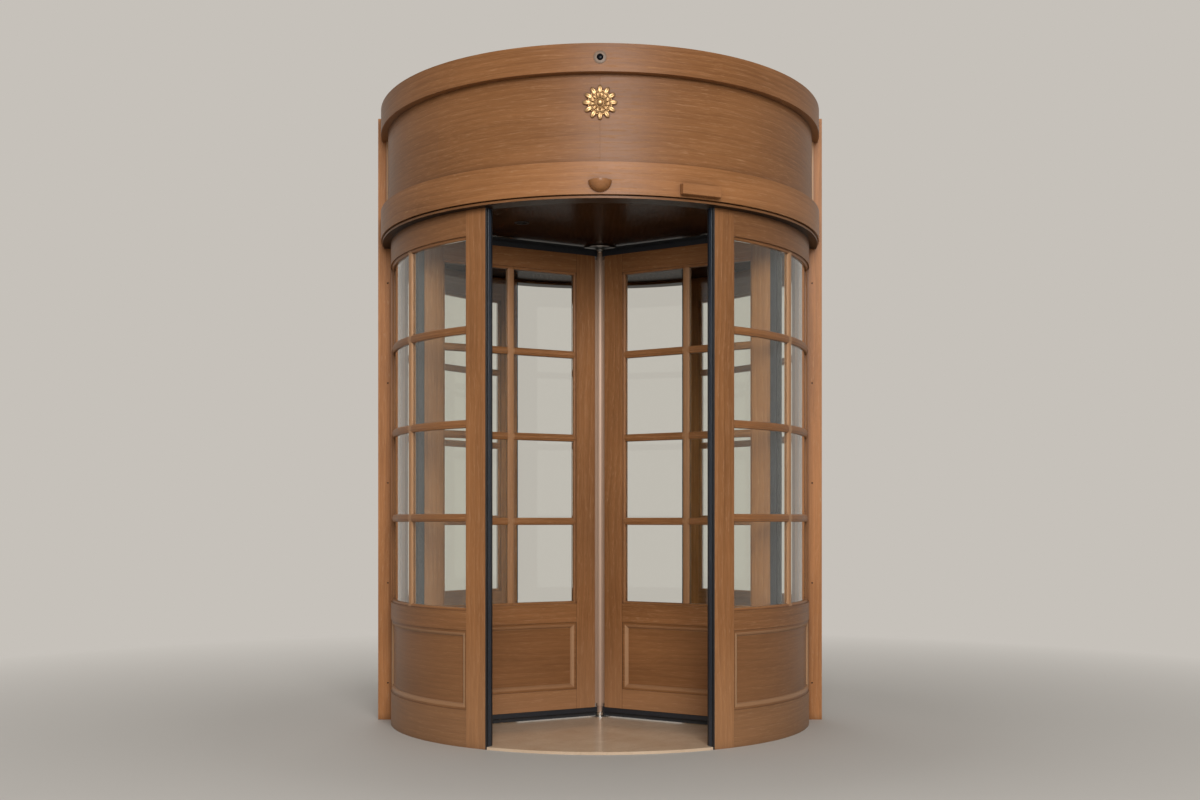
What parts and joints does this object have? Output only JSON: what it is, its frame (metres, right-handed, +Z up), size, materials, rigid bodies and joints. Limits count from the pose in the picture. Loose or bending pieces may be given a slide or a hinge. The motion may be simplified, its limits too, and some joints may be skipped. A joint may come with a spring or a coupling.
{
  "type": "revolving door",
  "caption": "Three-wing revolving door in a glazed timber drum with a projecting canopy, ending at a narrow wall post each side.",
  "frame": {"origin": "on the drum's axis at ground level, at the middle of the underside", "axes": "+Z up along the rotor's axis, -Y towards the street side, +X to the right seen from the street"},
  "size_m": [2.74, 2.8126, 3.71],
  "materials": {
    "limed_oak": "limed open-grain oak, satin",
    "limed_oak_panel": "limed oak veneer, satin",
    "sensor_cover": "stained to match the oak",
    "roof_board": "plain board, matt",
    "clear_glass": "clear laminated, polished",
    "black_rubber": "satin black safety strip",
    "black_seal": "black profile with brush",
    "black_trim": "satin",
    "ceiling_gloss": "dark brown, glossy",
    "aged_brass": "polished, slightly aged",
    "satin_metal": "satin",
    "bearing_steel": "brushed",
    "floor_stone": "polished cream limestone"
  },
  "bodies": {
    "enclosure": {"floor_disc": "floor_stone", "floor_bearing": "bearing_steel", "ceiling_rose": "bearing_steel", "wall_post_left": "limed_oak", "wall_post_right": "limed_oak", "wall_end_stiles": "limed_oak", "wall_post_stiles": "limed_oak", "wall_top_rails": "limed_oak", "wall_lock_rails": "limed_oak", "wall_bottom_rails": "limed_oak", "glazing_bars_left": "limed_oak", "glazing_bars_right": "limed_oak", "canopy_low_band_front": "limed_oak", "canopy_low_band_back": "limed_oak", "canopy_top_band_front": "limed_oak", "canopy_top_band_back": "limed_oak", "soffit_ring": "limed_oak", "wall_panels_left": "limed_oak_panel", "wall_panels_right": "limed_oak_panel", "canopy_frieze_front": "limed_oak_panel", "canopy_frieze_back": "limed_oak_panel", "wall_glass_left": "clear_glass", "wall_glass_right": "clear_glass", "edge_strips_left": "black_rubber", "edge_strips_right": "black_rubber", "ceiling_disc": "ceiling_gloss", "canopy_roof": "roof_board", "downlights": "black_trim", "lens": "black_trim", "sensor_domes": "sensor_cover", "sensor_bars": "sensor_cover", "rosette": "aged_brass"},
    "rotor": {"centre_post": "satin_metal", "wing_frame_a": "limed_oak", "wing_glass_a": "clear_glass", "wing_panel_a": "limed_oak_panel", "wing_seal_a": "black_seal", "wing_frame_b": "limed_oak", "wing_glass_b": "clear_glass", "wing_panel_b": "limed_oak_panel", "wing_seal_b": "black_seal", "wing_frame_c": "limed_oak", "wing_glass_c": "clear_glass", "wing_panel_c": "limed_oak_panel", "wing_seal_c": "black_seal"}
  },
  "joints": [
    {"name": "rotor_spin", "type": "hinge", "parent": "enclosure", "child": "rotor", "pos_m": [0, 0, 0], "axis": [0, 0, 1], "continuous": true}
  ]
}
